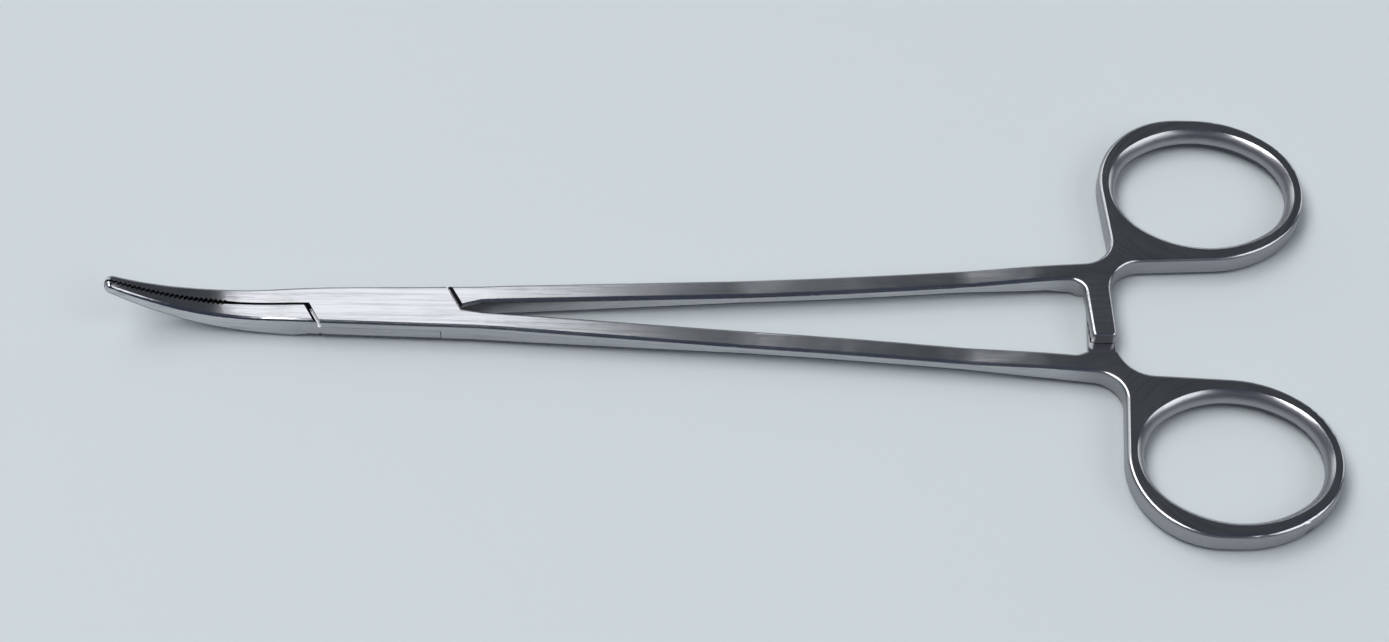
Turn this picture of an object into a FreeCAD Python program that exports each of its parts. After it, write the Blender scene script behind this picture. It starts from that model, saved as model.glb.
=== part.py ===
import FreeCAD, Part

# Curved box-lock hemostat forceps, modelled closed, as it lies on a table with its tips up.
# Each half is one forging: jaw, box lock, shank, ratchet arm and finger ring. The female half
# carries the box, two thin walls with a slot between them. The male half is thinned to a
# tongue that runs through the slot, and one riveted pin joins the two.
#
# Units are millimetres. The origin is on the pin's axis at the underside of the box. +X runs
# towards the finger rings, +Y towards the male ring and +Z up. The male half has its jaw at
# -Y and its ring at +Y, and the female half has them the other way round. Handles are drawn
# as the male one lies, and the female one is its mirror image or is turned over.

import math
import os

from FreeCAD import Vector

# Box lock
BOX_THICKNESS = 4.4
BOX_HALF_WIDTH = 3.6  # at the pin
BOX_FLARE = 0.024  # how much the half width grows for each millimetre towards the rings
BOX_SIDE_END = 8.0  # along X, from the pin's axis to where the jaws start to narrow
BOX_SIDE_START = 14.0  # the same, to where the shanks start to spread
BOX_SIDE_ROUND = 60.0
WALL_THICKNESS = 1.35
WALL_END_CENTRE = 11.25  # along X, from the pin's axis to a slanted wall end, at its inner corner
WALL_END_EDGE = 9.05  # the same, at the box's edge
SLOT_END_EDGE = 8.75  # along X, from the pin's axis to the end of the slot, at the box's edge
TONGUE_CLEARANCE = 0.05  # between the tongue and each wall
SHOULDER_CLEARANCE = 0.4  # between a wall's slanted end and the male half's shoulder
BLOCK_CLEARANCE = 0.10  # between the tongue's slanted sides and the ends of the slot
SHOULDER_BEVEL = 0.45
PIN_DIAMETER = 3.0
PIN_RUNNING_CLEARANCE = 0.03  # radial, between the pin and the tongue

# Jaws
JAW_ROOT = 12.6  # along X, from the pin's axis to where the jaws leave the box
JAW_REACH = 41.2  # along X, from the pin's axis to the middle of the tip's end
JAW_ROOT_HALF_WIDTH = 3.15
JAW_ROOT_ROUND = 60.0
JAW_TIP_HALF_WIDTH = 1.2
JAW_MIDDLE = 27.0  # along X, where the outer side turns in a little more
JAW_MIDDLE_HALF_WIDTH = 2.5
JAW_SIDE_ROUND = 150.0
JAW_TIP_THICKNESS = 1.7
JAW_TIP_CORNER = 1.0  # radius of the tip's outer corner, seen from above
JAW_CURVE_START = 17.0  # along X, where the jaws start to curve up
JAW_CURVE_RADIUS = 46.0
JAW_GAP = 0.44  # between the jaws behind the serrations, narrowing to the tip
JAW_TIP_GAP = 0.06

# Serrations, across the whole mating face
SERRATION_COUNT = 24
SERRATION_PITCH = 0.74
SERRATION_DEPTH = 0.36  # of the sharp V, whose sides spread half a pitch each in this depth
SERRATION_FLAT = 0.04  # taken off each crest
SERRATION_MARGIN = 0.6  # left smooth at the tip

# Shanks
SHANK_THICKNESS = 2.8
SHANK_TAPER_START = 18.0  # along X
SHANK_TAPER_END = 54.0
SHANK_TAPER_ROUND = 200.0
CROTCH_BEND_X = 14.9
CROTCH_BEND_Y = 0.86
CROTCH_ROUND = 6.0
SHANK_BEND = 66.3  # along X, where the shank's slight bow is centred
SHANK_BEND_INNER = 3.75
SHANK_BEND_OUTER = 7.05
SHANK_BOW_RADIUS = 900.0
EDGE_ROUND = 0.6

# Ratchet
ARM_CENTRE = 108.95  # along X, where the arm crosses the centre line
ARM_TIP_WIDTH = 3.9
ARM_ROOT_WIDTH = 4.2
ARM_LEAN = 0.045  # how far the arm leans to +X for each millimetre towards its tip
ARM_OVERREACH = 3.6  # how far the arm reaches past the centre line
ARM_ROOT_INNER = 7.35  # from the centre line to the shank's inner side at the arm
ARM_ROOT_OUTER = 10.4  # the same, to the shank's outer side
ARM_FRONT_ROUND = 2.4
ARM_BACK_ROUND = 5.5
ARM_CORNER = 0.75
ARM_LAP_START = 6.6  # from the centre line to where half of the thickness is cut away
RATCHET_CLEARANCE = 0.05  # from the middle plane to the crests
RATCHET_TOOTH_COUNT = 3
RATCHET_PITCH = 1.25
RATCHET_DEPTH = 0.5
RATCHET_END_FLAT = 0.35  # from the arm's end to the first tooth

# Finger rings
RING_THICKNESS = 4.0
RING_TAPER_START = 88.0  # along X
RING_TAPER_END = 100.0
RING_TAPER_ROUND = 60.0
RING_CENTRE_X = 126.63
RING_CENTRE_Y = 25.08
RING_HALF_LENGTH = 16.13
RING_HALF_WIDTH = 13.98
RING_END_ROUND = 12.6  # radius of the ring's free end
RING_FRONT_X = 110.5  # the neck's outer side, level with the ring's centre
RING_FRONT_ROUND = 13.5
RING_SIDE_LEAN = 2.8  # degrees from X, the ring's inner side where it runs to the arm
NECK_LEAN = 4.4  # degrees from Y, the neck's outer side
NECK_ROUND = 4.5
OPENING_CENTRE_X = 126.67
OPENING_CENTRE_Y = 25.0
OPENING_HALF_LENGTH = 14.6  # at the faces
OPENING_HALF_WIDTH = 12.0
OPENING_END_ROUND = 10.6  # radius of the opening's ends
OPENING_BULGE = 1.2  # how far the inner side swells into the opening, half way through

MIDDLE = BOX_THICKNESS / 2  # height of the middle plane
TONGUE_THICKNESS = BOX_THICKNESS - 2 * (WALL_THICKNESS + TONGUE_CLEARANCE)
TONGUE_TOP = MIDDLE + TONGUE_THICKNESS / 2
MATING_OFFSET = JAW_GAP / 2
STRAIGHT = JAW_CURVE_START - JAW_ROOT  # of the jaw's centre line, before its curve
JAW_SWEEP = math.asin((JAW_REACH - JAW_CURVE_START) / JAW_CURVE_RADIUS)
JAW_LENGTH = STRAIGHT + JAW_CURVE_RADIUS * JAW_SWEEP  # along its centre line
SERRATED_END = JAW_LENGTH - SERRATION_MARGIN
SERRATED_START = SERRATED_END - SERRATION_COUNT * SERRATION_PITCH
BELOW = -4.0  # height below everything
ABOVE = 16.0  # height above everything
SPARE = 5.0  # how far a cutter runs past what it meets
ALONG_X = Vector(1, 0, 0)
ALONG_Y = Vector(0, 1, 0)
ALONG_Z = Vector(0, 0, 1)


def rounded_path(corners):
    """Edges along the corners (point, radius), each inner corner turned into a tangent arc."""
    last = corners[0][0]
    edges = []
    for i in range(1, len(corners) - 1):
        point, radius = corners[i]
        back = (corners[i - 1][0] - point).normalize()
        ahead = (corners[i + 1][0] - point).normalize()
        half_turn = (math.pi - back.getAngle(ahead)) / 2
        reach = radius * math.tan(half_turn)
        start = point + back * reach
        end = point + ahead * reach
        edges.append(Part.LineSegment(last, start).toShape())
        if reach > 1e-6:
            inward = (back + ahead).normalize()
            middle = point + inward * (radius / math.cos(half_turn) - radius)
            edges.append(Part.Arc(start, middle, end).toShape())
        last = end
    edges.append(Part.LineSegment(last, corners[-1][0]).toShape())
    return edges


def plate(edges, low, high):
    """A solid with the closed outline of the edges, from height low to height high."""
    wire = Part.Wire(edges)
    wire.translate(Vector(0, 0, low))
    return Part.Face(wire).extrude(Vector(0, 0, high - low))


def polygon(points):
    """A closed straight-sided outline."""
    return Part.makePolygon(points + points[:1])


def mirrored(shape):
    """The shape's mirror image in the plane of the centre line."""
    return shape.mirror(Vector(0, 0, 0), ALONG_Y)


def turned_over(shape):
    """The shape turned half a turn about the centre line of the middle plane."""
    copy = shape.copy()
    copy.rotate(Vector(0, 0, MIDDLE), ALONG_X, 180)
    return copy


def crossing(point_a, direction_a, point_b, direction_b):
    """Where two lines in the XY plane meet."""
    gap = point_b - point_a
    turn = direction_a.x * direction_b.y - direction_a.y * direction_b.x
    share = (gap.x * direction_b.y - gap.y * direction_b.x) / turn
    return point_a + direction_a * share


def slanted_end(edge, inner, offset):
    """The line through two points of a slanted end, moved away from the pin by an offset."""
    along = (inner - edge).normalize()
    outward = Vector(along.y, -along.x, 0)
    if outward.dot(edge) < 0:
        outward = outward * -1
    return edge + outward * offset, along


def band(edge, inner, offset, height):
    """Outline of the region between a slanted end and its image half a turn round the pin."""
    start, along = slanted_end(edge, inner, offset)
    first = start - along * SPARE
    last = start + along * ((inner - edge).Length + SPARE)
    corners = [first, last, first * -1, last * -1]
    return polygon([corner + ALONG_Z * height for corner in corners])


def wall_band(offset, height):
    """Outline of the box's walls between their slanted ends."""
    inner = Vector(WALL_END_CENTRE, -MATING_OFFSET, 0)
    return band(box_edge(WALL_END_EDGE, 1), inner, offset, height)


def slot():
    """The slot through the box, between the two walls."""
    low = MIDDLE - TONGUE_THICKNESS / 2 - TONGUE_CLEARANCE
    inner = Vector(WALL_END_CENTRE, -MATING_OFFSET, 0)
    height = TONGUE_THICKNESS + 2 * TONGUE_CLEARANCE
    return Part.Face(band(box_edge(SLOT_END_EDGE, -1), inner, 0, low)).extrude(ALONG_Z * height)


def pin_hole(radius):
    """A round hole on the pin's axis, as a cutter."""
    return Part.makeCylinder(radius, ABOVE - BELOW, Vector(0, 0, BELOW))


def box_edge(x, side):
    """The point on the box's side at +Y (1) or -Y (-1), at a distance along X."""
    return Vector(x, side * (BOX_HALF_WIDTH + BOX_FLARE * x), 0)


def oval(centre, half_length, half_width, end_radius):
    """The arcs of an oval, each (centre, radius, first angle, last angle) in degrees.

    They run round from the oval's lowest point: the lower side, the end at +X, the upper
    side, the end at -X and the lower side again.
    """
    reach = half_length - end_radius
    side_radius = (reach**2 + half_width**2 - end_radius**2) / (2 * (half_width - end_radius))
    drop = side_radius - half_width
    turn = math.degrees(math.atan2(reach, drop))
    lower = centre + Vector(0, drop, 0)
    upper = centre - Vector(0, drop, 0)
    return [
        (lower, side_radius, -90, -90 + turn),
        (centre + Vector(reach, 0, 0), end_radius, -90 + turn, 90 - turn),
        (upper, side_radius, 90 - turn, 90 + turn),
        (centre - Vector(reach, 0, 0), end_radius, 90 + turn, 270 - turn),
        (lower, side_radius, 270 - turn, 270),
    ]


def on_circle(centre, radius, angle):
    """The point of a circle at an angle in degrees."""
    turn = math.radians(angle)
    return centre + Vector(math.cos(turn), math.sin(turn), 0) * radius


def arc_edge(centre, radius, first, last):
    """An arc between two angles in degrees, as an edge."""
    points = [on_circle(centre, radius, angle) for angle in (first, (first + last) / 2, last)]
    return Part.Arc(*points).toShape()


def ring_opening():
    """The opening of the male ring, waisted half way through, as a cutter."""
    half_height = RING_THICKNESS / 2
    centre = Vector(OPENING_CENTRE_X, OPENING_CENTRE_Y, MIDDLE)
    arcs = oval(centre, OPENING_HALF_LENGTH, OPENING_HALF_WIDTH, OPENING_END_ROUND)
    sectors = []
    for middle, radius, first, last in arcs:
        top = Vector(radius, 0, half_height)
        waist = Vector(radius - OPENING_BULGE, 0, 0)
        bottom = Vector(radius, 0, -half_height)
        curve = Part.Arc(top, waist, bottom).toShape()
        corners = [
            bottom,
            bottom - ALONG_Z * SPARE,
            Vector(0, 0, -half_height - SPARE),
            Vector(0, 0, half_height + SPARE),
            top + ALONG_Z * SPARE,
            top,
        ]
        profile = Part.Face(Part.Wire([curve] + Part.makePolygon(corners).Edges))
        profile.rotate(Vector(0, 0, 0), ALONG_Z, first)
        sector = profile.revolve(Vector(0, 0, 0), ALONG_Z, last - first)
        sector.translate(middle)
        sectors.append(sector)
    return sectors[0].fuse(sectors[1:]).removeSplitter()


def jaw_frame(length):
    """The centre of a jaw's section, its way towards the tip and its way up."""
    turned = max(0.0, length - STRAIGHT) / JAW_CURVE_RADIUS
    forward = Vector(-math.cos(turned), 0, math.sin(turned))
    up = Vector(math.sin(turned), 0, math.cos(turned))
    if length < STRAIGHT:
        return Vector(-JAW_ROOT - length, 0, MIDDLE), forward, up
    centre = Vector(-JAW_CURVE_START, 0, MIDDLE + JAW_CURVE_RADIUS)
    return centre - up * JAW_CURVE_RADIUS, forward, up


def jaw_height(length, side):
    """A point on the jaw's upper (1) or lower (-1) face, seen from the side."""
    share = length / JAW_LENGTH
    thickness = BOX_THICKNESS + (JAW_TIP_THICKNESS - BOX_THICKNESS) * share
    centre, _, up = jaw_frame(length)
    return centre + up * side * thickness / 2


def side_edges(side):
    """The upper (1) or lower (-1) edge of a whole half, seen from the side, from tip to ring."""
    far_end = RING_CENTRE_X + RING_HALF_LENGTH + SPARE
    bend = jaw_height(STRAIGHT, side)
    middle = jaw_height((STRAIGHT + JAW_LENGTH) / 2, side)
    jaw_curve = Part.Arc(jaw_height(JAW_LENGTH, side), middle, bend).toShape()
    stations = [
        (-JAW_ROOT, BOX_THICKNESS, JAW_ROOT_ROUND),
        (SHANK_TAPER_START, BOX_THICKNESS, SHANK_TAPER_ROUND),
        (SHANK_TAPER_END, SHANK_THICKNESS, SHANK_TAPER_ROUND),
        (RING_TAPER_START, SHANK_THICKNESS, RING_TAPER_ROUND),
        (RING_TAPER_END, RING_THICKNESS, RING_TAPER_ROUND),
        (far_end, RING_THICKNESS, 0),
    ]
    corners = [(bend, 0)]
    for x, thickness, radius in stations:
        corners.append((Vector(x, 0, MIDDLE + side * thickness / 2), radius))
    return [jaw_curve] + rounded_path(corners)


def side_profile():
    """The whole forceps seen from the side, as a solid as wide as needed."""
    upper = side_edges(1)
    lower = side_edges(-1)[::-1]
    high = upper[-1].valueAt(upper[-1].LastParameter)
    low = Vector(high.x, 0, BOX_THICKNESS - high.z)
    ring_end = Part.LineSegment(high, low).toShape()
    tip_end = Part.LineSegment(jaw_height(JAW_LENGTH, -1), jaw_height(JAW_LENGTH, 1)).toShape()
    half_width = RING_CENTRE_Y + RING_HALF_WIDTH + SPARE
    outline = Part.Wire(upper + [ring_end] + lower + [tip_end])
    outline.translate(ALONG_Y * -half_width)
    return Part.Face(outline).extrude(ALONG_Y * 2 * half_width)


def blank_outline(edge, inner, offset):
    """The male half from above, with the given slanted end in the crotch.

    The end at the jaw is the same line turned half a turn round the pin.
    """
    mating = Vector(0, -MATING_OFFSET, 0)
    crotch = Vector(CROTCH_BEND_X, CROTCH_BEND_Y, 0)
    outer_bend = Vector(SHANK_BEND, SHANK_BEND_OUTER, 0)
    inner_bend = Vector(SHANK_BEND, SHANK_BEND_INNER, 0)
    outer_way = Vector(ARM_CENTRE, ARM_ROOT_OUTER, 0) - outer_bend
    inner_way = Vector(ARM_CENTRE, ARM_ROOT_INNER, 0) - inner_bend

    tip_x = ARM_CENTRE + ARM_LEAN * ARM_OVERREACH
    root_x = ARM_CENTRE - ARM_LEAN * ARM_ROOT_OUTER
    front_tip = Vector(tip_x - ARM_TIP_WIDTH / 2, -ARM_OVERREACH, 0)
    back_tip = Vector(tip_x + ARM_TIP_WIDTH / 2, -ARM_OVERREACH, 0)
    front_way = Vector(root_x - ARM_ROOT_WIDTH / 2, ARM_ROOT_OUTER, 0) - front_tip
    back_way = Vector(root_x + ARM_ROOT_WIDTH / 2, ARM_ROOT_OUTER, 0) - back_tip

    centre = Vector(RING_CENTRE_X, RING_CENTRE_Y, 0)
    arcs = oval(centre, RING_HALF_LENGTH, RING_HALF_WIDTH, RING_END_ROUND)
    lower, side_radius, first, last = arcs[0]
    first = first + RING_SIDE_LEAN
    ring_side = on_circle(lower, side_radius, first)
    side_way = on_circle(Vector(0, 0, 0), 1, first + 90)
    upper, _, last_of_end, _ = arcs[2]
    ring_top = on_circle(upper, side_radius, 90)
    free_side = [
        arc_edge(lower, side_radius, first, last),
        arc_edge(*arcs[1]),
        arc_edge(upper, side_radius, last_of_end, 90),
    ]
    neck_way = on_circle(Vector(0, 0, 0), 1, 90 + NECK_LEAN)
    neck_side = Vector(RING_FRONT_X, RING_CENTRE_Y, 0)
    ring_front = crossing(neck_side, neck_way, ring_top, ALONG_X)
    neck = crossing(outer_bend, outer_way, neck_side, neck_way)
    arm_back = crossing(back_tip, back_way, ring_side, side_way)
    arm_front = crossing(front_tip, front_way, inner_bend, inner_way)

    start, along = slanted_end(edge, inner, offset)
    sides = [box_edge(1, side) - box_edge(0, side) for side in (1, -1)]
    edge_corner = crossing(start, along, box_edge(0, -1), sides[1])
    other_corner = crossing(start * -1, along, box_edge(0, 1), sides[0])
    inner_corner = crossing(start, along, inner, crotch - inner)
    jaw_corner = crossing(start * -1, along, mating, ALONG_X)
    serrated = jaw_frame(SERRATED_START)[0].x
    past_tip = -JAW_REACH - SPARE
    jaw_taper = (JAW_MIDDLE_HALF_WIDTH - JAW_TIP_HALF_WIDTH) / (JAW_REACH - JAW_MIDDLE)
    before_ring = [
        (Vector(past_tip, SERRATION_DEPTH, 0), 0),
        (Vector(serrated, SERRATION_DEPTH, 0), 0),
        (Vector(serrated, -MATING_OFFSET, 0), 0),
        (jaw_corner, 0),
        (other_corner, 0),
        (box_edge(BOX_SIDE_START, 1), BOX_SIDE_ROUND),
        (outer_bend, SHANK_BOW_RADIUS),
        (neck, NECK_ROUND),
        (ring_front, RING_FRONT_ROUND),
        (ring_top, 0),
    ]
    after_ring = [
        (ring_side, 0),
        (arm_back, ARM_BACK_ROUND),
        (back_tip, ARM_CORNER),
        (front_tip, ARM_CORNER),
        (arm_front, ARM_FRONT_ROUND),
        (inner_bend, SHANK_BOW_RADIUS),
        (crotch, CROTCH_ROUND),
        (inner_corner, 0),
        (edge_corner, 0),
        (box_edge(-BOX_SIDE_END, -1), BOX_SIDE_ROUND),
        (Vector(-JAW_MIDDLE, -JAW_MIDDLE_HALF_WIDTH, 0), JAW_SIDE_ROUND),
        (Vector(past_tip, -JAW_TIP_HALF_WIDTH + SPARE * jaw_taper, 0), 0),
        (Vector(past_tip, SERRATION_DEPTH, 0), 0),
    ]
    return rounded_path(before_ring) + free_side[::-1] + rounded_path(after_ring)


def is_rim(solid, edge):
    """Whether an edge lies between an outer side and the upper or lower face."""
    middle = edge.valueAt((edge.FirstParameter + edge.LastParameter) / 2)
    steepness = []
    for face in solid.ancestorsOfType(edge, Part.Face):
        u, v = face.Surface.parameter(middle)
        steepness.append(abs(face.normalAt(u, v).z))
    return min(steepness) < 0.6 and max(steepness) > 0.8


def blank(edge, inner, offset):
    """A male half before its box, serrations and ring are cut, with its edges rounded."""
    solid = plate(blank_outline(edge, inner, offset), BELOW, ABOVE).common(side_profile())
    solid = solid.removeSplitter().Solids[0]
    tip = -JAW_REACH + JAW_TIP_THICKNESS
    corners = [
        item
        for item in solid.Edges
        if item.BoundBox.XMax < tip and item.BoundBox.ZLength > item.BoundBox.YLength
        and item.CenterOfMass.y < 0
    ]
    solid = solid.makeFillet(JAW_TIP_CORNER, corners)
    rims = []
    for item in solid.Edges:
        middle = item.CenterOfMass
        in_jaw = middle.x < -JAW_ROOT
        limit = -JAW_TIP_HALF_WIDTH if in_jaw else -JAW_ROOT_HALF_WIDTH * 0.98
        inside = middle.x < WALL_END_CENTRE and limit < middle.y < JAW_ROOT_HALF_WIDTH * 0.98
        at_tip = item.BoundBox.XMax < tip
        if is_rim(solid, item) and (at_tip or not inside):
            rims.append(item)
    return solid.makeFillet(EDGE_ROUND, rims)


def half_gap(x):
    """Half of the gap between the jaws, which closes evenly towards the tip."""
    start = jaw_frame(SERRATED_START)[0].x
    share = (x + JAW_REACH) / (start + JAW_REACH)
    return (JAW_TIP_GAP + (JAW_GAP - JAW_TIP_GAP) * share) / 2


def serration_groove(length):
    """One V groove across the mating face, as a cutter."""
    centre, forward, up = jaw_frame(length)
    root = half_gap(centre.x) + SERRATION_DEPTH / 2
    low = centre - up * SPARE + ALONG_Y * root
    side = forward * SERRATION_PITCH
    mouth = low - ALONG_Y * 2 * SERRATION_DEPTH
    return Part.Face(polygon([mouth - side, mouth + side, low])).extrude(up * 2 * SPARE)


def serration_cutters(phase):
    """What is cut from the jaw at +Y on its mate's side, the V grooves shifted by a phase.

    The crests reach between the mate's, and the tip past them is plain.
    """
    past_start = jaw_frame(SERRATED_START)[0].x + SPARE
    past_tip = -JAW_REACH - SPARE
    crest = SERRATION_FLAT - SERRATION_DEPTH / 2
    corners = [
        Vector(past_start, half_gap(past_start) + crest, BELOW),
        Vector(past_tip, half_gap(past_tip) + crest, BELOW),
        Vector(past_tip, -SPARE, BELOW),
        Vector(past_start, -SPARE, BELOW),
    ]
    mate = Part.Face(polygon(corners)).extrude(ALONG_Z * (ABOVE - BELOW))

    end, forward, up = jaw_frame(SERRATED_END - SERRATION_PITCH / 2)
    low = end - up * SPARE
    surface = ALONG_Y * half_gap(end.x)
    beyond = forward * 2 * SPARE
    plain = [low + surface, low + beyond + surface, low + beyond - ALONG_Y * SPARE, low - ALONG_Y * SPARE]
    tip = Part.Face(polygon(plain)).extrude(up * 2 * SPARE)

    starts = [SERRATED_START + (i + phase) * SERRATION_PITCH for i in range(SERRATION_COUNT)]
    return [mate, tip] + [serration_groove(length) for length in starts]


def lap_cutter():
    """What is cut from under the male ratchet arm, with its teeth left standing."""
    crests = MIDDLE + RATCHET_CLEARANCE
    end = -ARM_OVERREACH
    corners = [Vector(0, end - SPARE, BELOW), Vector(0, end - SPARE, crests)]
    for i in range(RATCHET_TOOTH_COUNT):
        tooth = end + RATCHET_END_FLAT + i * RATCHET_PITCH
        corners.append(Vector(0, tooth, crests))
        corners.append(Vector(0, tooth, crests + RATCHET_DEPTH))
    corners.append(Vector(0, end + RATCHET_END_FLAT + RATCHET_TOOTH_COUNT * RATCHET_PITCH, crests))
    corners.append(Vector(0, ARM_LAP_START, crests))
    corners.append(Vector(0, ARM_LAP_START, BELOW))
    cutter = Part.Face(polygon(corners)).extrude(ALONG_X * (ARM_ROOT_WIDTH + 2 * SPARE))
    cutter.translate(ALONG_X * (ARM_CENTRE - ARM_ROOT_WIDTH / 2 - SPARE))
    return cutter


def shoulder_bevel():
    """What is cut from the upper edges of the male half's shoulders."""
    low = wall_band(SHOULDER_CLEARANCE, BOX_THICKNESS - SHOULDER_BEVEL)
    high = wall_band(SHOULDER_CLEARANCE + 2 * SHOULDER_BEVEL, BOX_THICKNESS + SHOULDER_BEVEL)
    return Part.makeLoft([low, high], True, True)


def male_half():
    """Jaw at -Y, tongue, shank, upper ratchet arm and ring at +Y."""
    inner = Vector(WALL_END_CENTRE, -MATING_OFFSET, 0)
    over = Part.Face(wall_band(SHOULDER_CLEARANCE, TONGUE_TOP)).extrude(ALONG_Z * ABOVE)
    bevel = shoulder_bevel()
    solid = blank(box_edge(SLOT_END_EDGE, -1), inner, -BLOCK_CLEARANCE)
    for cutter in (over, bevel):
        solid = solid.cut(cutter).cut(mirrored(turned_over(cutter)))
    solid = solid.cut(pin_hole(PIN_DIAMETER / 2 + PIN_RUNNING_CLEARANCE))
    solid = solid.cut(ring_opening()).cut(lap_cutter())
    return solid.cut([mirrored(cutter) for cutter in serration_cutters(0.5)]).removeSplitter()


def female_half():
    """Jaw at +Y, box, shank, lower ratchet arm and ring at -Y."""
    inner = Vector(WALL_END_CENTRE, MATING_OFFSET, 0)
    solid = mirrored(blank(box_edge(WALL_END_EDGE, -1), inner, 0))
    solid = solid.cut(slot()).cut(pin_hole(PIN_DIAMETER / 2))
    solid = solid.cut(mirrored(ring_opening())).cut(turned_over(lap_cutter()))
    return solid.cut(serration_cutters(0)).removeSplitter()


def lock_pin():
    """The pin, riveted and ground flush with the box."""
    return Part.makeCylinder(PIN_DIAMETER / 2, BOX_THICKNESS)


os.makedirs("parts", exist_ok=True)
PARTS = {"male_half": male_half, "female_half": female_half, "lock_pin": lock_pin}
for name, make in PARTS.items():
    shape = make()
    print(f"{name}: {shape.Volume:.1f} mm3, {len(shape.Solids)} solid, valid {shape.isValid()}")
    shape.exportStep(f"parts/{name}.step")
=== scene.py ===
"""Curved box-lock hemostat forceps on a pale table, in the light of a plain room."""

import logging
import math
from dataclasses import dataclass
from enum import Enum

import bmesh
import bpy
from mathutils import Matrix, Vector


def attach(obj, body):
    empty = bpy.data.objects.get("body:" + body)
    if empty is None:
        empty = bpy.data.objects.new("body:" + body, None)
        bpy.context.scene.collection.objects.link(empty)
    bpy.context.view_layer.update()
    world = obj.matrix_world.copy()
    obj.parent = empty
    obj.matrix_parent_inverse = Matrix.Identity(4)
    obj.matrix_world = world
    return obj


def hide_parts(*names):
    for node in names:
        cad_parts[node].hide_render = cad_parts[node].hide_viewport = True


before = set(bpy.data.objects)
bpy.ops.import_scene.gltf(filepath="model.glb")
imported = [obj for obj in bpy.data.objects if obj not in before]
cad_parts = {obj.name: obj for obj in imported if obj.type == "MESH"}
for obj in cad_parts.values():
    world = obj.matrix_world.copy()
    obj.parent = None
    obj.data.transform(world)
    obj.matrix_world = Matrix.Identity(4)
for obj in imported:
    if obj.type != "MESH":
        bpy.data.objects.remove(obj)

log = logging.getLogger("forceps")

MM = 0.001
PHOTO_SIZE = (1389, 642)
Colour = tuple[float, float, float]


class Side(Enum):
    """Which way a half's jaw lies from the centre line."""

    LEFT_OF_CENTRE = 1.0
    RIGHT_OF_CENTRE = -1.0


class Body(Enum):
    """The two bodies that turn about the pin."""

    FEMALE = "female_body"
    MALE = "male_body"


class NodeSketch:
    """Adds nodes to a tree and links them, so that a tree reads as a list of steps."""

    def __init__(self, tree: bpy.types.NodeTree) -> None:
        """Start on a tree.

        Args:
            tree: the tree that gets the nodes.
        """
        self.tree = tree

    def add(self, kind: str, settings: dict | None = None, **inputs: object) -> bpy.types.Node:
        """Add a node, set its properties and feed its inputs.

        Args:
            kind: the node's type.
            settings: the node's own properties by name.
            **inputs: values or sockets by input name, with _ for a space.

        Returns:
            The node.
        """
        node = self.tree.nodes.new(kind)
        for name, value in (settings or {}).items():
            setattr(node, name, value)
        for name, value in inputs.items():
            self.feed(node.inputs[name.replace("_", " ")], value)
        return node

    def feed(self, socket: bpy.types.NodeSocket, value: object) -> None:
        """Link a socket to another, or set its own value.

        Args:
            socket: the input to feed.
            value: the output that feeds it, or a plain value.
        """
        if isinstance(value, bpy.types.NodeSocket):
            self.tree.links.new(value, socket)
        else:
            socket.default_value = value

    def maths(self, operation: str, *values: object) -> bpy.types.NodeSocket:
        """A Math node's result.

        Args:
            operation: the node's operation.
            *values: its one to three inputs, as sockets or numbers.

        Returns:
            The output socket.
        """
        node = self.add("ShaderNodeMath", {"operation": operation})
        for socket, value in zip(node.inputs, values):
            self.feed(socket, value)
        return node.outputs[0]

    def step(self, value: object, low: float, high: float) -> bpy.types.NodeSocket:
        """A smooth step from 0 to 1.

        Args:
            value: the socket that is stepped.
            low: where the step is 0.
            high: where it is 1. Below low, the step falls as the value grows.

        Returns:
            The output socket.
        """
        first, last = (0.0, 1.0) if low < high else (1.0, 0.0)
        node = self.add(
            "ShaderNodeMapRange",
            {"interpolation_type": "SMOOTHSTEP"},
            Value=value,
            From_Min=min(low, high),
            From_Max=max(low, high),
            To_Min=first,
            To_Max=last,
        )
        return node.outputs[0]

    def mix(self, share: object, one: object, other: object) -> bpy.types.NodeSocket:
        """A mix of two numbers.

        Args:
            share: how much of the other number there is, from 0 to 1.
            one: the first number.
            other: the other number.

        Returns:
            The output socket.
        """
        node = self.add("ShaderNodeMix", {"data_type": "FLOAT"})
        self.feed(node.inputs[0], share)
        self.feed(node.inputs[2], one)
        self.feed(node.inputs[3], other)
        return node.outputs[0]

    def blend(self, share: object, one: object, other: object) -> bpy.types.NodeSocket:
        """A mix of two colours.

        Args:
            share: how much of the other colour there is, from 0 to 1.
            one: the first colour.
            other: the other colour.

        Returns:
            The output socket.
        """
        node = self.add("ShaderNodeMix", {"data_type": "RGBA"})
        self.feed(node.inputs[0], share)
        for socket, colour in ((node.inputs[6], one), (node.inputs[7], other)):
            plain = not isinstance(colour, bpy.types.NodeSocket)
            self.feed(socket, (*colour, 1.0) if plain else colour)
        return node.outputs[2]


def new_group(name: str, inputs: dict[str, float | None], outputs: list[str]) -> NodeSketch:
    """A shader node group with named sockets.

    Args:
        name: the group's name.
        inputs: each input's name and its value, or None for a vector.
        outputs: the names of the outputs, all numbers.

    Returns:
        The group's tree, ready for its nodes.
    """
    tree = bpy.data.node_groups.new(name, "ShaderNodeTree")
    for label, value in inputs.items():
        kind = "NodeSocketVector" if value is None else "NodeSocketFloat"
        socket = tree.interface.new_socket(label, in_out="INPUT", socket_type=kind)
        if value is not None:
            socket.default_value = value
    for label in outputs:
        tree.interface.new_socket(label, in_out="OUTPUT", socket_type="NodeSocketFloat")
    return NodeSketch(tree)


@dataclass(frozen=True)
class RingPlace:
    """Where a finger ring's middle lies, for the lines that run round it."""

    centre_x: float = 126.6
    centre_y: float = 25.0
    start_x: float = 109.0
    blend_x: float = 113.5
    radius: float = 14.0


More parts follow.
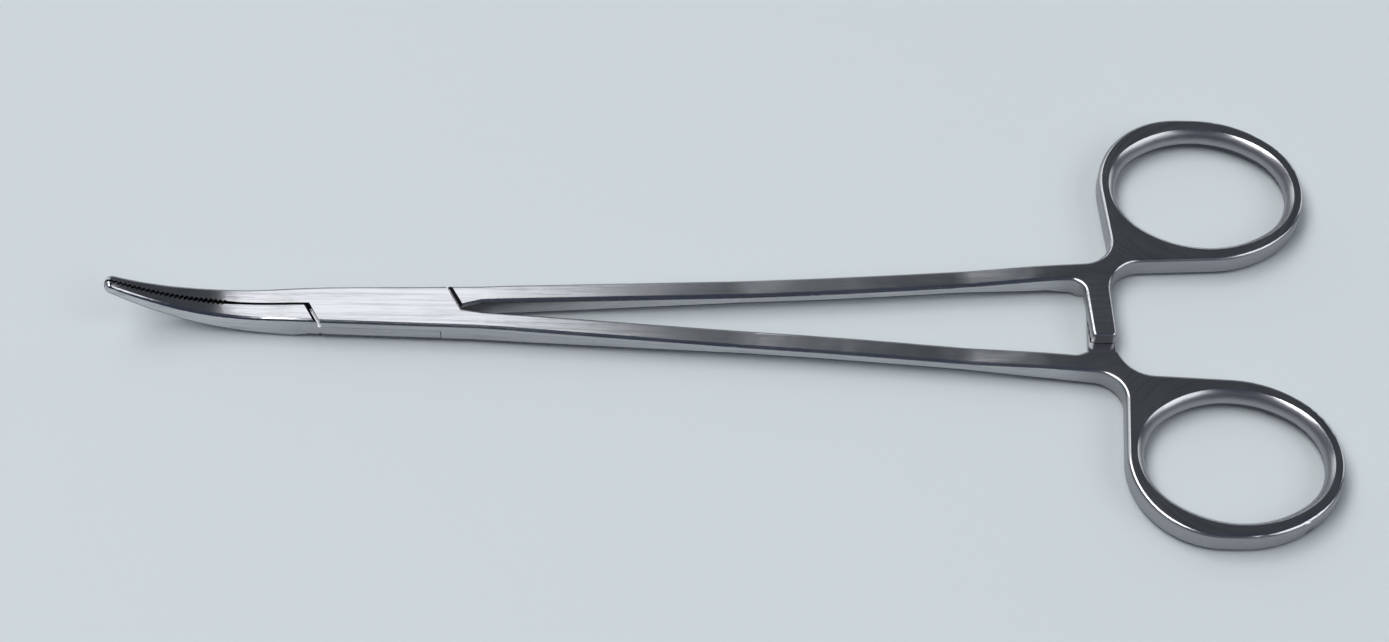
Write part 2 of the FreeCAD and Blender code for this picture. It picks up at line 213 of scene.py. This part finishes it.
@dataclass(frozen=True)
class BeltLines:
    """How the belt's fine and coarse lines mix."""

    fine_detail: float = 2.0
    fine_roughness: float = 0.6
    coarse_detail: float = 1.0
    coarse_scale: float = 0.21
    coarse_share: float = 0.55


def grain_group(ring: RingPlace, belt: BeltLines) -> bpy.types.NodeTree:
    """The fine lines that a belt leaves on steel: along the shanks and round the rings.

    Args:
        ring: the place of the ring at +Y; the other one is its mirror image.
        belt: the mix of the belt's lines.

    Returns:
        A group with inputs Vector, Lines and Stretch and outputs Mask and Height.
    """
    inputs = {"Vector": None, "Lines": 5.0, "Stretch": 40.0}
    sketch = new_group("belt_grain", inputs, ["Mask", "Height"])
    given = sketch.add("NodeGroupInput").outputs
    x, y, z = sketch.add("ShaderNodeSeparateXYZ", Vector=given["Vector"]).outputs
    lines = sketch.maths("DIVIDE", given["Lines"], MM)
    from_x = sketch.maths("SUBTRACT", x, ring.centre_x * MM)
    from_y = sketch.maths("SUBTRACT", sketch.maths("ABSOLUTE", y), ring.centre_y * MM)
    angle = sketch.maths("ARCTAN2", from_y, from_x)
    square_y = sketch.maths("MULTIPLY", from_y, from_y)
    squares = sketch.maths("MULTIPLY_ADD", from_x, from_x, square_y)
    around = sketch.maths("MULTIPLY", angle, ring.radius * MM)
    in_ring = sketch.step(x, ring.start_x * MM, ring.blend_x * MM)
    results = []
    for along, across in ((x, y), (around, sketch.maths("SQRT", squares))):
        drawn = sketch.add(
            "ShaderNodeCombineXYZ",
            X=sketch.maths("DIVIDE", sketch.maths("MULTIPLY", along, lines), given["Stretch"]),
            Y=sketch.maths("MULTIPLY", across, lines),
            Z=sketch.maths("MULTIPLY", z, lines),
        ).outputs[0]
        fine = sketch.add(
            "ShaderNodeTexNoise",
            Vector=drawn,
            Scale=1.0,
            Detail=belt.fine_detail,
            Roughness=belt.fine_roughness,
        ).outputs[0]
        coarse = sketch.add(
            "ShaderNodeTexNoise", Vector=drawn, Scale=belt.coarse_scale, Detail=belt.coarse_detail
        ).outputs[0]
        fine_part = sketch.maths("MULTIPLY", fine, 1.0 - belt.coarse_share)
        results.append((sketch.maths("MULTIPLY_ADD", coarse, belt.coarse_share, fine_part), fine))
    (mask, height), (ring_mask, ring_height) = results
    sketch.add(
        "NodeGroupOutput",
        Mask=sketch.mix(in_ring, mask, ring_mask),
        Height=sketch.mix(in_ring, height, ring_height),
    )
    return sketch.tree


@dataclass(frozen=True)
class MilledPaintedShadePlace:
    """Where the jaws' mill-cut teeth and the slanted, mill-cut ends of the box lie, which get
    painted shade.
    """

    teeth_start: float = -22.2
    teeth_reach: float = 0.60
    ends_start: float = 8.5
    ends_stop: float = 14.1
    teeth_fade: float = 0.4
    reach_fade: float = 0.03
    ends_fade: float = 0.2
    flank: tuple[float, float] = (0.65, 0.50)
    crosswise: tuple[float, float] = (0.35, 0.50)


def milled_painted_shade_group(milled_painted_shade: MilledPaintedShadePlace) -> bpy.types.NodeTree:
    """The mill-cut flanks of the jaws' teeth and the box's slanted ends, which no belt reaches, and
    which get painted shade.

    Args:
        milled_painted_shade: where they lie, and how far their normals lean from upright or
            crosswise.

    Returns:
        A group with inputs Vector and Normal and the output Mask.
    """
    sketch = new_group("milled_faces_painted_shade", {"Vector": None, "Normal": None}, ["Mask"])
    given = sketch.add("NodeGroupInput").outputs
    x, y, _ = sketch.add("ShaderNodeSeparateXYZ", Vector=given["Vector"]).outputs
    lengthwise, _, upright = sketch.add("ShaderNodeSeparateXYZ", Vector=given["Normal"]).outputs
    teeth_full = milled_painted_shade.teeth_start - milled_painted_shade.teeth_fade
    along = sketch.step(x, milled_painted_shade.teeth_start * MM, teeth_full * MM)
    outer = milled_painted_shade.teeth_reach + milled_painted_shade.reach_fade
    near = sketch.step(sketch.maths("ABSOLUTE", y), outer * MM, milled_painted_shade.teeth_reach * MM)
    flank = sketch.step(sketch.maths("ABSOLUTE", upright), *milled_painted_shade.flank)
    teeth = sketch.maths("MULTIPLY", sketch.maths("MULTIPLY", along, near), flank)
    off = sketch.maths("ABSOLUTE", x)
    box = sketch.maths(
        "MULTIPLY",
        sketch.step(off, (milled_painted_shade.ends_start - milled_painted_shade.ends_fade) * MM, milled_painted_shade.ends_start * MM),
        sketch.step(off, (milled_painted_shade.ends_stop + milled_painted_shade.ends_fade) * MM, milled_painted_shade.ends_stop * MM),
    )
    across = sketch.step(sketch.maths("ABSOLUTE", lengthwise), *milled_painted_shade.crosswise)
    ends = sketch.maths("MULTIPLY", box, across)
    # Teeth flanks and slanted ends: the mask where near-black shade is painted.
    sketch.add("NodeGroupOutput", Mask=sketch.maths("MAXIMUM", teeth, ends))
    return sketch.tree


@dataclass(frozen=True)
class SidePlace:
    """Where a forging's upright sides start to be brushed and painted darker as shade, and where
    the rings' do.
    """

    start_x: float = -24.0
    full_x: float = -12.0
    ring_start_x: float = 101.0
    ring_full_x: float = 108.0
    share: float = 0.5
    wall: tuple[float, float] = (0.92, 0.62)
    # below and not_flat: how far a lower edge faces down; there a dark reflection of the shade
    # under it is painted.
    below: tuple[float, float] = (-0.02, -0.12)
    not_flat: tuple[float, float] = (-0.90, -0.70)


def sides_group(sides: SidePlace) -> bpy.types.NodeTree:
    """The forging's upright sides, brushed duller (rougher) than its flat faces and painted darker
    as shade, and its lower edges, painted dark as the reflection of the shade under them.

    Args:
        sides: where the brushing starts, and how upright a side or a lower edge is.

    Returns:
        A group with inputs Vector and Normal and outputs Wall, the upright sides that are brushed
        and get painted shade, and Edge, the lower edges that get a painted dark reflection.
    """
    sketch = new_group("brushed_sides_and_painted_shade", {"Vector": None, "Normal": None}, ["Wall", "Edge"])
    given = sketch.add("NodeGroupInput").outputs
    x = sketch.add("ShaderNodeSeparateXYZ", Vector=given["Vector"]).outputs[0]
    upright = sketch.add("ShaderNodeSeparateXYZ", Vector=given["Normal"]).outputs[2]
    # Upright sides: brushed rougher, and painted darker as shade.
    wall = sketch.step(sketch.maths("ABSOLUTE", upright), *sides.wall)
    past_jaws = sketch.step(x, sides.start_x * MM, sides.full_x * MM)
    shank = sketch.maths("MULTIPLY", past_jaws, sides.share)
    ring = sketch.step(x, sides.ring_start_x * MM, sides.ring_full_x * MM)
    # Lower edges facing a little down, where a dark reflection is painted.
    below = sketch.step(upright, *sides.below)
    not_flat = sketch.step(upright, *sides.not_flat)
    sketch.add(
        "NodeGroupOutput",
        Wall=sketch.maths("MULTIPLY", wall, sketch.mix(ring, shank, 1.0)),
        Edge=sketch.maths("MULTIPLY", below, not_flat),
    )
    return sketch.tree


@dataclass(frozen=True)
class Clouding:
    """How cloudy the marks of handling are."""

    detail: float = 4.0
    distortion: float = 0.8
    shades: tuple[float, float] = (0.38, 0.68)


def handling_group(clouding: Clouding) -> bpy.types.NodeTree:
    """The faint cloudy marks that wiping and handling leave.

    Args:
        clouding: how cloudy they are.

    Returns:
        A group with inputs Vector and Scale and the output Mask.
    """
    sketch = new_group("handling_marks", {"Vector": None, "Scale": 120.0}, ["Mask"])
    given = sketch.add("NodeGroupInput").outputs
    cloud = sketch.add(
        "ShaderNodeTexNoise",
        Vector=given["Vector"],
        Scale=given["Scale"],
        Detail=clouding.detail,
        Distortion=clouding.distortion,
    ).outputs[0]
    sketch.add("NodeGroupOutput", Mask=sketch.step(cloud, *clouding.shades))
    return sketch.tree


@dataclass(frozen=True)
class Groups:
    """The effects that more than one finish uses."""

    grain: bpy.types.NodeTree
    handling: bpy.types.NodeTree
    milled_painted_shade: bpy.types.NodeTree
    sides: bpy.types.NodeTree


@dataclass(frozen=True)
class SatinSteel:
    """Stainless steel, ground to a satin finish, with shade painted on its upright sides, lower
    edges, teeth and slanted ends.
    """

    name: str
    base: Colour = (0.63, 0.635, 0.65)
    dull: Colour = (0.45, 0.455, 0.475)
    # Darker colour painted on the upright sides as shade; their higher roughness below is the real
    # brushing.
    side: Colour = (0.37, 0.375, 0.39)
    side_roughness: float = 0.42
    # Dark colour painted on the lower rounded edges as the reflection of the shade under them.
    edge: Colour = (0.07, 0.075, 0.10)
    # Near black painted into the teeth and on the box's slanted ends as shade; their roughness
    # below is the real mill-cut finish.
    milled_painted_shade: Colour = (0.10, 0.10, 0.11)
    milled_roughness: float = 0.30
    roughness: float = 0.13
    roughness_spread: float = 0.10
    smudge: float = 0.035
    lines: float = 9.0
    stretch: float = 34.0
    depth: float = 0.0030
    streaks: tuple[float, float] = (0.42, 0.66)
    least_worn: float = 0.75

    def build(self, groups: Groups) -> bpy.types.Material:
        """Make the material.

        Args:
            groups: the effects that the steel shares with other finishes.

        Returns:
            The material.
        """
        material = bpy.data.materials.new(self.name)
        material.use_nodes = True
        material.node_tree.nodes.clear()
        sketch = NodeSketch(material.node_tree)
        where = sketch.add("ShaderNodeTexCoord").outputs
        place = where["Object"]
        lines = sketch.add(
            "ShaderNodeGroup",
            {"node_tree": groups.grain},
            Vector=place,
            Lines=self.lines,
            Stretch=self.stretch,
        ).outputs
        marks = sketch.add(
            "ShaderNodeGroup", {"node_tree": groups.handling}, Vector=place
        ).outputs["Mask"]
        milled_painted_shade = sketch.add(
            "ShaderNodeGroup", {"node_tree": groups.milled_painted_shade}, Vector=place, Normal=where["Normal"]
        ).outputs["Mask"]
        streaks = sketch.step(lines["Mask"], *self.streaks)
        worn = sketch.maths("MULTIPLY", streaks, sketch.mix(marks, self.least_worn, 1.0))
        colour = sketch.blend(worn, self.base, self.dull)
        sides_and_painted_shade = sketch.add(
            "ShaderNodeGroup", {"node_tree": groups.sides}, Vector=place, Normal=where["Normal"]
        ).outputs
        # Painted shade: the upright sides darker.
        colour = sketch.blend(sides_and_painted_shade["Wall"], colour, self.side)
        # Painted reflection: the lower edges dark, as the shade under them would show.
        colour = sketch.blend(sides_and_painted_shade["Edge"], colour, self.edge)
        # Painted shade: the teeth and the box's slanted ends near black.
        colour = sketch.blend(milled_painted_shade, colour, self.milled_painted_shade)
        low = self.roughness - self.roughness_spread / 2
        rough = sketch.maths("MULTIPLY_ADD", lines["Mask"], self.roughness_spread, low)
        rough = sketch.maths("MULTIPLY_ADD", marks, self.smudge, rough)
        rough = sketch.mix(sides_and_painted_shade["Wall"], rough, self.side_roughness)
        rough = sketch.mix(milled_painted_shade, rough, self.milled_roughness)
        bump = sketch.add(
            "ShaderNodeBump", Height=lines["Height"], Distance=self.depth * MM, Strength=1.0
        )
        steel = sketch.add(
            "ShaderNodeBsdfPrincipled",
            Base_Color=colour,
            Metallic=1.0,
            Roughness=rough,
            Normal=bump.outputs[0],
        )
        sketch.add("ShaderNodeOutputMaterial", Surface=steel.outputs[0])
        return material


def grinding_tree() -> bpy.types.NodeTree:
    """Geometry Nodes that turn a forging's raw faces into one smooth, ground surface.

    The serrations are relieved a little, away from the other jaw.

    Returns:
        A tree with inputs Merge Distance, Crisp Angle, Relief, Relief Reach, Relief Start,
        Relief Full and Finish.
    """
    tree = bpy.data.node_groups.new("ground_surface", "GeometryNodeTree")
    sockets = {
        "Geometry": "NodeSocketGeometry",
        "Merge Distance": "NodeSocketFloat",
        "Crisp Angle": "NodeSocketFloat",
        "Relief": "NodeSocketFloat",
        "Relief Reach": "NodeSocketFloat",
        "Relief Start": "NodeSocketFloat",
        "Relief Full": "NodeSocketFloat",
        "Finish": "NodeSocketMaterial",
    }
    for name, kind in sockets.items():
        tree.interface.new_socket(name, in_out="INPUT", socket_type=kind)
    tree.interface.new_socket("Geometry", in_out="OUTPUT", socket_type="NodeSocketGeometry")
    sketch = NodeSketch(tree)
    given = sketch.add("NodeGroupInput").outputs
    merged = sketch.add(
        "GeometryNodeMergeByDistance", Geometry=given["Geometry"], Distance=given["Merge Distance"]
    ).outputs[0]

    position = sketch.add("GeometryNodeInputPosition").outputs[0]
    x, y, _ = sketch.add("ShaderNodeSeparateXYZ", Vector=position).outputs
    share = sketch.add(
        "ShaderNodeMapRange", Value=x, From_Min=given["Relief Start"], From_Max=given["Relief Full"]
    ).outputs[0]
    near = sketch.add("FunctionNodeCompare", {"operation": "LESS_THAN"})
    sketch.feed(near.inputs[0], sketch.maths("ABSOLUTE", y))
    sketch.feed(near.inputs[1], given["Relief Reach"])
    moved = sketch.maths("MULTIPLY", share, given["Relief"])
    away = sketch.add("ShaderNodeCombineXYZ", Y=moved).outputs[0]
    relieved = sketch.add(
        "GeometryNodeSetPosition", Geometry=merged, Selection=near.outputs[0], Offset=away
    ).outputs[0]

    crisp = sketch.add("FunctionNodeCompare", {"operation": "LESS_THAN"})
    angle = sketch.add("GeometryNodeInputMeshEdgeAngle").outputs["Unsigned Angle"]
    sketch.feed(crisp.inputs[0], angle)
    sketch.feed(crisp.inputs[1], given["Crisp Angle"])
    smooth = sketch.add(
        "GeometryNodeSetShadeSmooth", {"domain": "FACE"}, Geometry=relieved, Shade_Smooth=True
    ).outputs[0]
    edged = sketch.add(
        "GeometryNodeSetShadeSmooth",
        {"domain": "EDGE"},
        Geometry=smooth,
        Shade_Smooth=crisp.outputs[0],
    ).outputs[0]
    real = sketch.add("GeometryNodeRealizeInstances", Geometry=edged).outputs[0]
    dressed = sketch.add("GeometryNodeSetMaterial", Geometry=real, Material=given["Finish"])
    sketch.add("NodeGroupOutput", Geometry=dressed.outputs[0])
    return tree


@dataclass(frozen=True)
class LowerEdge:
    """The lower outer edges, rounded more than the upper ones so that they don't catch."""

    drawn: float = 0.6
    rounded: float = 1.35
    ring_rounded: float = 0.80
    ring_start: float = 102.0
    ring_full: float = 110.0
    heights: tuple[tuple[float, float], ...] = ((18.0, 0.0), (54.0, 0.8), (88.0, 0.8), (100.0, 0.2))
    box_start: float = -12.0
    box_end: float = 14.5
    box_half_width: float = 3.6
    box_flare: float = 0.024
    arm_start: float = 103.0
    arm_end: float = 115.5
    arm_reach: float = 8.0
    ring_x: float = 126.65
    ring_y: float = 25.05
    ring_half: tuple[float, float] = (15.15, 12.75)
    slack: float = 0.03
    box_reach: float = 0.72
    least_crosswise: float = 0.03
    least_level: float = 0.02

    def floor(self, x: float) -> float:
        """The height of a forging's underside.

        Args:
            x: the distance along X, in millimetres.

        Returns:
            The height in millimetres.
        """
        for (x0, z0), (x1, z1) in zip(self.heights, self.heights[1:]):
            if x < x1:
                return z0 + (z1 - z0) * min(max((x - x0) / (x1 - x0), 0.0), 1.0)
        return self.heights[-1][1]

    def outward(self, place: Vector, normal: Vector) -> Vector | None:
        """The level way out of the forging at a point of its lower edge.

        Args:
            place: the point, in millimetres.
            normal: the surface's normal there.

        Returns:
            A level direction, or None where the edge stays as it is.
        """
        if place.x < self.box_start:
            return None
        if place.x < self.box_end:
            inside = self.box_half_width + self.box_flare * place.x - abs(place.y)
            on_edge = inside < self.box_reach and abs(normal.y) > self.least_crosswise
            return Vector((0.0, math.copysign(1.0, place.y), 0.0)) if on_edge else None
        on_arm = self.arm_start < place.x < self.arm_end and abs(place.y) < self.arm_reach
        off_x = (place.x - self.ring_x) / self.ring_half[0]
        off_y = (abs(place.y) - self.ring_y) / self.ring_half[1]
        level = Vector((normal.x, normal.y, 0.0))
        if on_arm or off_x**2 + off_y**2 < 1.0 or level.length < self.least_level:
            return None
        return level.normalized()

    def round_off(self, form: bmesh.types.BMesh) -> int:
        """Round the lower edges of a merged forging.

        Args:
            form: the forging, in metres.

        Returns:
            How many points were moved.
        """
        moves = []
        for point in form.verts:
            place = point.co / MM
            height = place.z - self.floor(place.x)
            if not -self.slack < height < self.drawn + self.slack:
                continue
            out = self.outward(place, point.normal)
            if out is None:
                continue
            down = min(max(1.0 - height / self.drawn, 0.0), 1.0)
            level = math.sqrt(1.0 - down**2)
            past = (place.x - self.ring_start) / (self.ring_full - self.ring_start)
            share = min(max(past, 0.0), 1.0)
            more = self.rounded + (self.ring_rounded - self.rounded) * share - self.drawn
            way = Vector((0, 0, 1)) * (1.0 - down) - out * (1.0 - level)
            moves.append((point, way * more * MM))
        for point, move in moves:
            point.co += move
        return len(moves)


@dataclass
class GroundPiece:
    """A steel piece of the forceps with its surface ground and finished."""

    node: str
    body: Body
    side: Side
    slot: str
    finish: bpy.types.Material
    lower_edge: LowerEdge | None = None
    merge_distance: float = 0.001
    crisp_angle: float = 32.0
    relief: float = 0.15
    relief_reach: float = 0.46
    relief_start: float = -22.0
    relief_full: float = -25.0

    def build(self, tree: bpy.types.NodeTree) -> bpy.types.Object:
        """Make the finished piece from the node's own shape, and let it stand for the node.

        Args:
            tree: the Geometry Nodes tree that grinds the surface.

        Returns:
            The piece's object.
        """
        form = bmesh.new()
        form.from_mesh(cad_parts[self.node].data)
        bmesh.ops.remove_doubles(form, verts=form.verts, dist=self.merge_distance * MM)
        form.normal_update()
        if self.lower_edge:
            log.info("rounded %d points of %s", self.lower_edge.round_off(form), self.node)
        raw = bpy.data.meshes.new(f"{self.node}_blank")
        form.to_mesh(raw)
        form.free()
        blank = bpy.data.objects.new(f"{self.node}_blank", raw)
        bpy.context.scene.collection.objects.link(blank)
        grind = blank.modifiers.new("grind", "NODES")
        grind.node_group = tree
        values = {
            "Merge Distance": self.merge_distance * MM,
            "Crisp Angle": math.radians(self.crisp_angle),
            "Relief": self.side.value * self.relief * MM,
            "Relief Reach": self.relief_reach * MM,
            "Relief Start": self.relief_start * MM,
            "Relief Full": self.relief_full * MM,
            "Finish": self.finish,
        }
        for item in tree.interface.items_tree:
            if item.name in values:
                grind[item.identifier] = values[item.name]
        even = blank.modifiers.new("even", "WEIGHTED_NORMAL")
        even.keep_sharp = True
        even.weight = 100
        seen = blank.evaluated_get(bpy.context.evaluated_depsgraph_get())
        mesh = bpy.data.meshes.new_from_object(seen)
        bpy.data.objects.remove(blank)
        piece = bpy.data.objects.new(f"{self.node}_ground", mesh)
        bpy.context.scene.collection.objects.link(piece)
        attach(piece, self.body.value)
        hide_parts(self.node)
        return piece


@dataclass
class PhotoCamera:
    """The camera, placed as the photograph was taken."""

    eye: tuple[float, float, float] = (36.35, -256.65, 360.26)
    elevation: float = 54.4084
    azimuth: float = -2.3814
    roll: float = 2.7765
    focal_px: float = 2899.86
    sensor: float = 36.0

    def build(self) -> bpy.types.Object:
        """Make the camera and look through it.

        Returns:
            The camera's object.
        """
        down = math.radians(self.elevation)
        round_z = math.radians(self.azimuth)
        reach = math.cos(down)
        forward = Vector(
            (-math.sin(round_z) * reach, math.cos(round_z) * reach, -math.sin(down))
        )
        level = forward.cross(Vector((0, 0, 1))).normalized()
        upright = level.cross(forward)
        roll = math.radians(self.roll)
        right = level * math.cos(roll) + upright * math.sin(roll)
        up = upright * math.cos(roll) - level * math.sin(roll)
        data = bpy.data.cameras.new("photo_camera")
        data.sensor_width = self.sensor
        data.lens = self.sensor * self.focal_px / PHOTO_SIZE[0]
        data.clip_start = 0.01
        camera = bpy.data.objects.new("photo_camera", data)
        bpy.context.scene.collection.objects.link(camera)
        turn = Matrix((right, up, -forward)).transposed().to_4x4()
        camera.matrix_world = Matrix.Translation(Vector(self.eye) * MM) @ turn
        bpy.context.scene.camera = camera
        return camera


@dataclass(frozen=True)
class Panel:
    """A bright or dark part of the room, as ranges of the direction to it."""

    colour: Colour
    x: tuple[float, float] = (-2.0, 2.0)
    y: tuple[float, float] = (-2.0, 2.0)
    z: tuple[float, float] = (-2.0, 2.0)
    soft: float = 0.05

    def mask(self, sketch: NodeSketch, way: list[bpy.types.NodeSocket]) -> bpy.types.NodeSocket:
        """How much of the panel each direction sees.

        Args:
            sketch: the world's tree.
            way: the direction's three parts.

        Returns:
            A socket that is 1 inside the panel and 0 outside.
        """
        shares = []
        for part, (low, high) in zip(way, (self.x, self.y, self.z)):
            if low > -1.0:
                shares.append(sketch.step(part, low - self.soft / 2, low + self.soft / 2))
            if high < 1.0:
                shares.append(sketch.step(part, high + self.soft / 2, high - self.soft / 2))
        whole = shares[0]
        for share in shares[1:]:
            whole = sketch.maths("MULTIPLY", whole, share)
        return whole


@dataclass
class Room:
    """The table top and the room's light round it."""

    table: Colour = (0.70, 0.75, 0.762)
    table_size: float = 4.0
    table_roughness: float = 0.55
    mottle_scale: float = 12.0
    mottle_detail: float = 4.0
    mottle_shade: float = 0.985
    ceiling: Colour = (0.045, 0.055, 0.085)
    panels: tuple[Panel, ...] = (
        Panel((0.060, 0.068, 0.075), x=(0.0, 0.58), y=(0.40, 2.0), soft=0.15),
        Panel((0.85, 0.88, 0.90), x=(-2.0, -0.20), y=(0.50, 0.80), soft=0.06),
        Panel((4.75, 4.8, 4.85), x=(-0.60, -0.21), y=(-0.45, 0.50), z=(0.35, 2.0), soft=0.10),
        Panel((1.5, 1.54, 1.58), x=(0.42, 0.88), y=(-0.66, 0.10), z=(0.35, 2.0), soft=0.10),
        Panel((0.80, 0.83, 0.86), x=(0.60, 2.0), y=(0.36, 2.0), soft=0.08),
        Panel((0.32, 0.34, 0.37), y=(0.80, 2.0), soft=0.10),
        Panel((1.30, 1.34, 1.38), x=(-0.20, 0.022), y=(0.36, 0.80), soft=0.040),
    )

    def lay_table(self) -> bpy.types.Object:
        """Make the table top that the forceps lie on.

        Returns:
            The table's object.
        """
        mesh = bpy.data.meshes.new("table_top")
        form = bmesh.new()
        bmesh.ops.create_grid(form, x_segments=1, y_segments=1, size=self.table_size / 2)
        form.to_mesh(mesh)
        form.free()
        material = bpy.data.materials.new("pale_table")
        material.use_nodes = True
        material.node_tree.nodes.clear()
        sketch = NodeSketch(material.node_tree)
        place = sketch.add("ShaderNodeTexCoord").outputs["Object"]
        mottle = sketch.add(
            "ShaderNodeTexNoise", Vector=place, Scale=self.mottle_scale, Detail=self.mottle_detail
        ).outputs[0]
        shade = tuple(value * self.mottle_shade for value in self.table)
        top = sketch.add(
            "ShaderNodeBsdfPrincipled",
            Base_Color=sketch.blend(mottle, self.table, shade),
            Roughness=self.table_roughness,
        )
        sketch.add("ShaderNodeOutputMaterial", Surface=top.outputs[0])
        mesh.materials.append(material)
        table = bpy.data.objects.new("table_top", mesh)
        bpy.context.scene.collection.objects.link(table)
        return table

    def light(self) -> bpy.types.World:
        """Make the room's light: bright and dark panels under a dim ceiling.

        Returns:
            The world.
        """
        world = bpy.data.worlds.new("room")
        world.use_nodes = True
        world.node_tree.nodes.clear()
        sketch = NodeSketch(world.node_tree)
        ahead = sketch.add("ShaderNodeTexCoord").outputs["Generated"]
        way = list(sketch.add("ShaderNodeSeparateXYZ", Vector=ahead).outputs)
        colour = (*self.ceiling, 1.0)
        for panel in self.panels:
            node = sketch.add("ShaderNodeMix", {"data_type": "RGBA"})
            sketch.feed(node.inputs[0], panel.mask(sketch, way))
            sketch.feed(node.inputs[6], colour)
            sketch.feed(node.inputs[7], (*panel.colour, 1.0))
            colour = node.outputs[2]
        light = sketch.add("ShaderNodeBackground", Color=colour, Strength=1.0)
        sketch.add("ShaderNodeOutputWorld", Surface=light.outputs[0])
        bpy.context.scene.world = world
        return world


def main() -> None:
    """Dress the forceps and set the scene, in order."""
    logging.basicConfig(level=logging.INFO, format="%(name)s: %(message)s")
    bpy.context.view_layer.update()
    bpy.context.scene.view_settings.view_transform = "Standard"
    groups = Groups(
        grain_group(RingPlace(), BeltLines()),
        handling_group(Clouding()),
        milled_painted_shade_group(MilledPaintedShadePlace()),
        sides_group(SidePlace()),
    )
    satin = SatinSteel("satin_steel").build(groups)
    pin = SatinSteel("pin_steel", roughness=0.14).build(groups)
    tree = grinding_tree()
    edge = LowerEdge()
    left, right = Side.LEFT_OF_CENTRE, Side.RIGHT_OF_CENTRE
    pieces = (
        GroundPiece("female_half", Body.FEMALE, left, "satin_steel", satin, edge),
        GroundPiece("male_half", Body.MALE, right, "satin_steel", satin, edge),
        GroundPiece("lock_pin", Body.FEMALE, left, "pin_steel", pin),
    )
    for piece in pieces:
        made = piece.build(tree)
        log.info("made %s with %d faces", made.name, len(made.data.polygons))
    room = Room()
    log.info("laid %s", room.lay_table().name)
    log.info("lit by %s", room.light().name)
    log.info("looking through %s", PhotoCamera().build().name)


if __name__ == "__main__":
    main()
